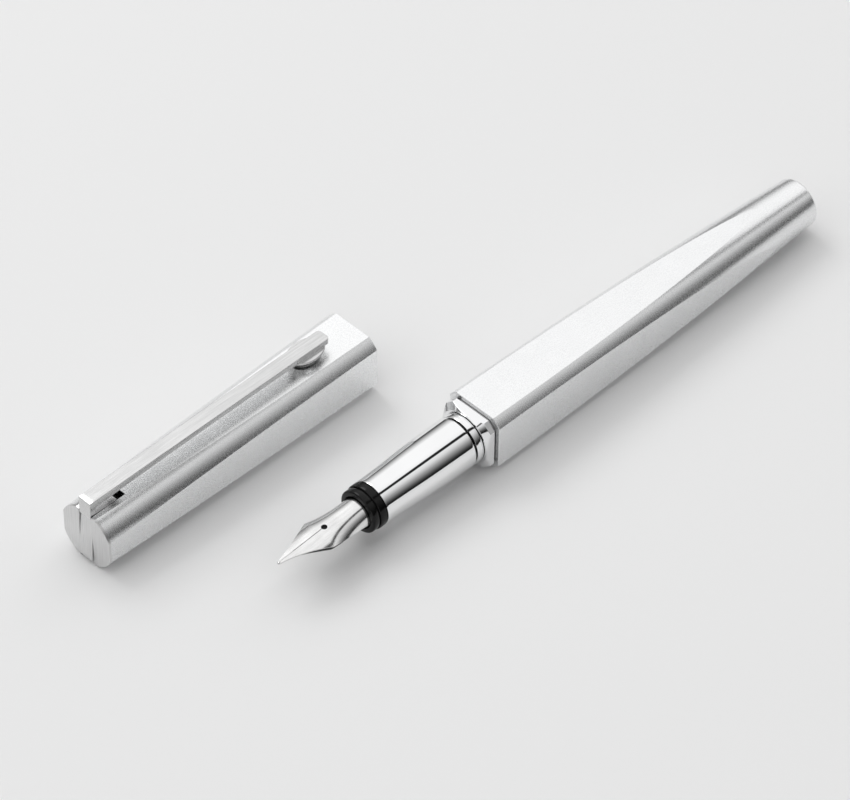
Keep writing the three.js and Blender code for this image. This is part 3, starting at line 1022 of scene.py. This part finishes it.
capLow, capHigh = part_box("cap_shell")
capTilt = math.atan(cap["taper"])
capOrigin = (
    capHigh[0] - cap["half"] * math.sin(capTilt) * mm,
    (capLow[1] + capHigh[1]) / 2,
    cap["half"] * math.cos(capTilt) * mm,
)
capFrame = axisFrame(capOrigin, (math.cos(capTilt), 0, math.sin(capTilt)))


# Half the cap's width and its corner radius, some way along from the mouth.
def capSize(along):
    radius = cap["mouthRadius"] - cap["slope"] * along - cap["curve"] * along * along
    return cap["half"] - cap["taper"] * along, radius


def capRing(x, inset=0.0):
    half, radius = capSize(-x)
    return squareRing(x, half - inset, radius - inset)


def makeCapShell():
    end = -cap["length"]
    half, radius = capSize(cap["length"])
    plugHalf = half - cap["plugInset"] + cap["fitGap"]
    plugCorner = radius - cap["plugInset"] + cap["fitGap"]
    plugFront = end + cap["plugDepth"]
    mouthHalf = cap["mouthHalf"]
    mouthCorner = cap["mouthCorner"]
    edge = cap["mouthEdge"]
    rings = [
        circle(plugFront, cap["bore"], ringCount),
        circle(-cap["mouthDepth"], cap["bore"], ringCount),
        squareRing(-cap["mouthDepth"], mouthHalf, mouthCorner),
        squareRing(-cap["mouthEdgeDepth"], mouthHalf, mouthCorner),
        squareRing(0, mouthHalf + edge, mouthCorner + edge),
        capRing(0, cap["rimBevel"] * 0.8),
    ]
    rings += [capRing(x) for x in steps(-cap["rimBevel"], end + cap["plate"], cap["rings"])]
    piece = finishPiece("capBody", skin(rings), capFrame, aluminium, satinAngle)
    slotHalf = clip["width"] / 2 + clip["slotGap"]
    bottom = clip["legBottom"] - clip["slotGap"]
    slot = boxMesh((end - 1, -slotHalf, bottom), (clip["legEnd"] + clip["notch"], slotHalf, 9))
    pocket = skin([squareRing(x, plugHalf, plugCorner) for x in (end - 1, plugFront + 0.5)])
    carve(piece, [slot, pocket], capFrame, "DIFFERENCE", satinAngle)
    settle(piece, "cap", "satin_aluminium", "cap_shell")


# The flat end: two side plates and a middle band that leans out at the bottom.
def makeCapEnd():
    end = -cap["length"]
    half, radius = capSize(cap["length"])
    plugHalf = half - cap["plugInset"] - cap["fitGap"]
    plugCorner = radius - cap["plugInset"] - cap["fitGap"]
    rings = [
        squareRing(end + cap["plugDepth"] - 0.3, plugHalf, plugCorner),
        squareRing(end + cap["plate"] + 0.01, plugHalf, plugCorner),
        capRing(end + cap["plate"]), capRing(end + 0.14), capRing(end + 0.05, 0.03),
        capRing(end, 0.12),
    ]
    plug = finishPiece("endPlug", skin(rings), capFrame, endMetal)
    bandHalf = endBand["half"]
    reach = bandHalf + endBand["groove"]
    bottom = clip["legBottom"] - clip["slotGap"]
    cuts = [
        boxMesh((end - 1, -reach, -9), (end + endBand["depth"] + 0.3, reach, bottom)),
        boxMesh((end - 1, -bandHalf, bottom - 0.01), (end + cap["plugDepth"] + 1, bandHalf, 9)),
    ]
    carve(plug, cuts, capFrame)
    settle(plug, "cap", "satin_aluminium", "cap_end_plug")

    low = -plugHalf + 0.02
    high = bottom - 0.1
    tilt = endBand["tilt"]
    inside = end + endBand["depth"]
    side = [
        (end + tilt, high), (inside, high), (inside, low), (end - tilt + 0.35, low),
        (end - tilt + 0.1, low + 0.12), (end - tilt, low + 0.35),
    ]
    rings = [[Vector((x, y, z)) for x, z in side] for y in (-bandHalf, bandHalf)]
    band = finishPiece("endBand", skin(rings), capFrame, endMetal)
    softenEdges(band, endBand["edge"])
    settle(band, "cap", "brushed_steel", "cap_end_band")


def makeInnerCap():
    wall = cap["linerWall"]
    outer = cap["linerRadius"]
    front = cap["linerFront"]
    end = cap["linerEnd"]
    hole = cap["linerHole"]
    outline = [
        (end + 1, hole), (end + 1, outer - wall), (front - 0.1, outer - wall),
        (front, outer - wall / 2), (front, outer), (end, outer), (end, hole),
    ]
    liner = turnedPiece("innerCap", outline, black, capFrame)
    settle(liner, "cap", "black_plastic", "inner_cap")


# The clip seen from the side: leg, upright front wall and the long sprung arm.
def clipProfile():
    end = -cap["length"]
    low = clip["legBottom"]
    top = clip["top"]
    wall = end + clip["frontWall"]
    thick = clip["bendThickness"]
    thin = clip["thickness"]
    soft = clip["frontRound"]
    inner = clip["innerRound"]
    profile = [(clip["legEnd"], low), (end + soft, low), (end, low + soft)]
    profile += [(end, top - soft), (end + soft * 0.3, top - soft * 0.3)]
    upper = []
    under = []
    for share in steps(0, 1, 48):
        x = end + soft + (clip["end"] - end - soft) * share
        sag = clip["sag"] * (max(0.0, share - clip["sagFrom"]) / (1 - clip["sagFrom"])) ** 2
        depth = thin + (thick - thin) * max(0.0, 1 - share / 0.5) ** 1.4
        upper.append((x, top - sag))
        if x > wall + 0.5:
            under.append((x, top - sag - depth))
    profile += upper + under[::-1]
    profile += [(wall + inner, top - thick), (wall, top - thick - inner)]
    profile += [(wall, clip["legTop"] + 0.05), (clip["legEnd"] - clip["legSlant"], clip["legTop"])]
    return profile


# The clip is one strip, bent at the closed end and cut round at the free one.
def makeClip():
    half = clip["width"] / 2
    rings = [[Vector((x, y, z)) for x, z in clipProfile()] for y in (-half, half)]
    strip = finishPiece("clipStrip", skin(rings), capFrame, clipMetal, 30)
    corner = clip["corner"]
    turn = clip["end"] - corner
    plan = [(-cap["length"] - 1, -half - 0.01), (turn, -half - 0.01)]
    for i in range(1, 8):
        angle = -math.pi / 2 + math.pi / 2 * i / 8
        plan.append((turn + corner * math.cos(angle), corner - half + corner * math.sin(angle)))
    plan += [(x, -y) for x, y in reversed(plan)]
    outline = skin([[Vector((x, y, z)) for x, y in plan] for z in (3, 10)])
    carve(strip, [outline], capFrame, "INTERSECT", 30)
    softenEdges(strip, clip["edge"], 3, 32)
    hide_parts("clip_foot", "clip_arm")
    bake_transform(strip)


# The oval pad under the free end: a shallow dish, curved up at its rim.
def makeClipPad():
    centre = clip["end"] - clip["padAt"]
    bottom = cap["half"] - cap["taper"] * clip["padAt"] + clip["padGap"]
    under = clip["top"] - clip["thickness"] + 0.1
    rings = []
    for share, level in (
        (0.96, under), (1.0, under - 0.12), (1.0, under - 0.3), (0.93, under - 0.5),
        (0.78, bottom + 0.16), (0.5, bottom + 0.03), (0.1, bottom),
    ):
        ring = []
        for i in range(72):
            angle = math.pi * i / 36
            x = centre + clip["padHalfLength"] * share * math.cos(angle)
            ring.append(Vector((x, clip["padHalfWidth"] * share * math.sin(angle), level)))
        rings.append(ring)
    pad = finishPiece("clipPad", skin(rings), capFrame, clipMetal, 30)
    settle(pad, "clip", "brushed_steel")


print("cap and clip")
makeCapShell()
makeCapEnd()
makeInnerCap()
makeClip()
makeClipPad()


studio = {
    "lens": 244.16,
    "sensorWidth": 36,
    "distance": 1.0,
    "azimuth": -44.75,
    "elevation": 45.65,
    "target": (-0.02673, 0.0152, 0.0),
    "nearClip": 0.01,
    "floorHalf": 1.6,
    "lampPlace": (0.02, 0.67, 0.79),  # from the target
    "lampSize": (0.5, 0.45),
    "lampBrightness": 2.9,
    "tent": (  # degrees from overhead towards the near side, and how bright it is there
        (-179, 0.4), (-92, 0.4), (-89, 0.05), (-82, 0.1), (-60, 0.75), (-48, 1.05), (0, 1.05),
        (17, 0.97), (19, 0.02), (28, 0.02), (30, 0.9), (42, 0.75), (58, 0.36), (72, 0.12),
        (82, 0.02), (91, 0.02), (93, 0.4), (179, 0.4),
    ),
}

paleFloor = {
    "fixed": {"Specular IOR Level": 0.25},
    "lines": (900, 3.0),
    "stretch": (1, 1, 1),
    "clouds": (6, 2.0),
    "lineShare": 0.5,
    "toneRange": (0, 1),
    "dark": grey(0.871725),
    "light": grey(0.885),
    "rough": 0.62,
    "lineRough": 0.1,
    "cloudRough": 0.0,
    "bump": 0.0,
    "depth": 0.00001,
}


def makeFloor():
    mesh = bpy.data.meshes.new("floor")
    work = bmesh.new()
    bmesh.ops.create_grid(work, x_segments=8, y_segments=8, size=studio["floorHalf"])
    work.to_mesh(mesh)
    work.free()
    floor = bpy.data.objects.new("floor", mesh)
    bpy.context.scene.collection.objects.link(floor)
    mesh.materials.append(workedFinish("paleFloor", paleFloor))


# A soft box aimed at the object; its brightness stays as it is when its size changes.
def makeLamp():
    place = Vector(studio["lampPlace"])
    width, height = studio["lampSize"]
    lamp = bpy.data.lights.new("overheadBox", "AREA")
    lamp.shape = "RECTANGLE"
    lamp.size = width
    lamp.size_y = height
    lamp.energy = studio["lampBrightness"] * math.pi * width * height
    box = bpy.data.objects.new("overheadBox", lamp)
    bpy.context.scene.collection.objects.link(box)
    box.location = Vector(studio["target"]) + place
    box.rotation_mode = "QUATERNION"
    box.rotation_quaternion = (-place).to_track_quat("-Z", "Y")
    box.visible_camera = False


def makeCamera():
    side = math.radians(studio["azimuth"])
    rise = math.radians(studio["elevation"])
    level = math.cos(rise)
    back = Vector((math.sin(side) * level, -math.cos(side) * level, math.sin(rise)))
    data = bpy.data.cameras.new("camera")
    data.lens = studio["lens"]
    data.sensor_width = studio["sensorWidth"]
    data.clip_start = studio["nearClip"]
    camera = bpy.data.objects.new("camera", data)
    bpy.context.scene.collection.objects.link(camera)
    camera.location = Vector(studio["target"]) + back * studio["distance"]
    camera.rotation_mode = "QUATERNION"
    camera.rotation_quaternion = (-back).to_track_quat("-Z", "Y")
    bpy.context.scene.camera = camera


# The studio's tent: bright overhead, with a dark gap and a low strip on the near side.
def makeWorld():
    world = bpy.data.worlds.new("studioAir")
    shade = Shade(world, "Background", {}, "Generated")
    across = shade.node("ShaderNodeSeparateXYZ", {}, {0: shade.place}, "Y")
    height = shade.node("ShaderNodeSeparateXYZ", {}, {0: shade.place}, "Z")
    turn = 0.5 - shade.math("ARCTAN2", across, height) * (0.5 / math.pi)
    stops = [(0.5 + angle / 360, grey(level)) for angle, level in studio["tent"]]
    tent = shade.node("ShaderNodeValToRGB", {"stops": stops}, {0: turn}, "Color")
    shade.feed("Color", tent)
    bpy.context.scene.world = world
    bpy.context.scene.view_settings.view_transform = "Standard"


print("studio")
makeFloor()
makeLamp()
makeWorld()
makeCamera()
